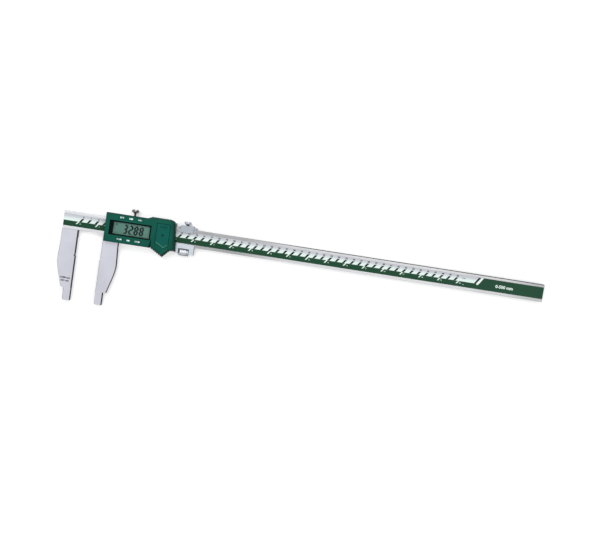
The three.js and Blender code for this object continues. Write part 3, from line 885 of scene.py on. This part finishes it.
def adjust_nut():
    """The knurled nut: tapered nose, knurled barrel, groove and collar."""
    node = "fine_adjust_nut"
    low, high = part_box(node)
    centre = Vector((0, (low.y + high.y) / 2, (low.z + high.z) / 2))
    radius = (high.y - low.y) / 2
    bore = 1.65 * MM
    segments = 120
    wall = [
        (bore, 0, 0),
        (3.3, 0, 0),
        (3.6, 0.12, 0),
        (4.35, 1.3, 0),
        (4.75, 1.9, 1),
        (4.75, 10.6, 1),
        (4.3, 10.9, 0),
        (3.9, 11.0, 0),
        (3.9, 11.9, 0),
        (4.6, 12.0, 0),
        (4.75, 12.2, 1),
        (4.75, 13.0, 1),
        (4.3, 13.3, 0),
        (4.2, 13.4, 0),
    ]
    length = (high.x - low.x) / (13.4 * MM)
    scale = radius / (4.9 * MM)
    profile = [(bore, low.x, 0)]
    profile += [(r * MM * scale, low.x + x * MM * length, k) for r, x, k in wall[1:]]
    profile += [(bore, high.x, 0)]
    made, rings = turn(profile, "x", centre, segments, knurl(40, 0.05 * MM))
    for i in range(segments):
        j = (i + 1) % segments
        made.faces.new((rings[-1][i], rings[-1][j], rings[0][j], rings[0][i]))
    piece = mesh_piece(node + "_fine", close(made), nut_steel, "adjust_nut", 30)
    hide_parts(node)


def carriage_parts():
    fine_copy("carriage_frame", carriage_steel, 0.25 * MM, 3)
    paint(thread_steel, "carriage_gib")
    adjust_rod()
    adjust_nut()
    lock_screw("slider_lock_screw", knob_steel, 2.4 * MM)
    lock_screw("carriage_lock_screw", carriage_knob_reflection_steel, 2.0 * MM)


# ---------------------------------------------------------------- stage

CAMERA_PLACE = Vector((-0.04348, 0.14114, 1.26129))
CAMERA_TARGET = Vector((-0.00416, 0.02503, 0.0086))
CAMERA_LENS = 57.0
CAMERA_ROLL = math.radians(9.0)


def camera():
    data = bpy.data.cameras.new("camera")
    data.lens = CAMERA_LENS
    data.sensor_width = 36.0
    data.clip_start = 0.01
    data.clip_end = 20.0
    piece = new_piece("camera", data)
    forward = (CAMERA_TARGET - CAMERA_PLACE).normalized()
    across = forward.cross(Vector((0, 1, 0))).normalized()
    up = across.cross(forward)
    basis = Matrix((across, up, -forward)).transposed().to_4x4()
    roll = Matrix.Rotation(CAMERA_ROLL, 4, "Z")
    piece.matrix_world = Matrix.Translation(CAMERA_PLACE) @ basis @ roll
    bpy.context.scene.camera = piece


def floor():
    material, tree, shader = new_material("floor_pale", 0.6)
    cloud = noise(tree, coordinates(tree), 3.0, 3.0)
    tone = blend_colours(tree, spread(tree, cloud, 0, 1), FLOOR, shade(FLOOR, 0.99))
    tree.links.new(tone, shader.inputs["Base Color"])
    shader.inputs["Specular IOR Level"].default_value = FLOOR_SPECULAR
    shader.inputs["Emission Color"].default_value = (1, 1, 1, 1)
    shader.inputs["Emission Strength"].default_value = FLOOR_GLOW
    made = bmesh.new()
    bmesh.ops.create_grid(made, x_segments=8, y_segments=8, size=4.0)
    mesh = bpy.data.meshes.new("floor")
    made.to_mesh(mesh)
    made.free()
    mesh.materials.append(material)
    piece = new_piece("floor", mesh)
    piece.location.z = cad_box[0].z - 0.05 * MM


def area_light(name, place, target, size, power):
    data = bpy.data.lights.new(name, "AREA")
    data.shape = "SQUARE"
    data.size = size
    data.energy = power
    piece = new_piece(name, data)
    piece.location = place
    aim = Vector(target) - Vector(place)
    piece.rotation_euler = aim.to_track_quat("-Z", "Y").to_euler()


def lights():
    world = bpy.data.worlds.new("studio")
    world.use_nodes = True
    background = world.node_tree.nodes["Background"]
    background.inputs["Color"].default_value = (1, 1, 1, 1)
    background.inputs["Strength"].default_value = STUDIO_GLOW
    bpy.context.scene.world = world
    area_light("key", (-0.7, 0.9, 1.5), (0, 0, 0), 0.9, 13.0)
    area_light("fill", (0.9, -0.5, 1.7), (0, 0, 0), 1.2, 8.0)


beam_parts()
printed_scale()
slider_parts()
battery_cover_parts()
lcd_reading()
button_parts()
carriage_parts()
floor()
lights()
camera()
bpy.context.scene.view_settings.view_transform = "Standard"
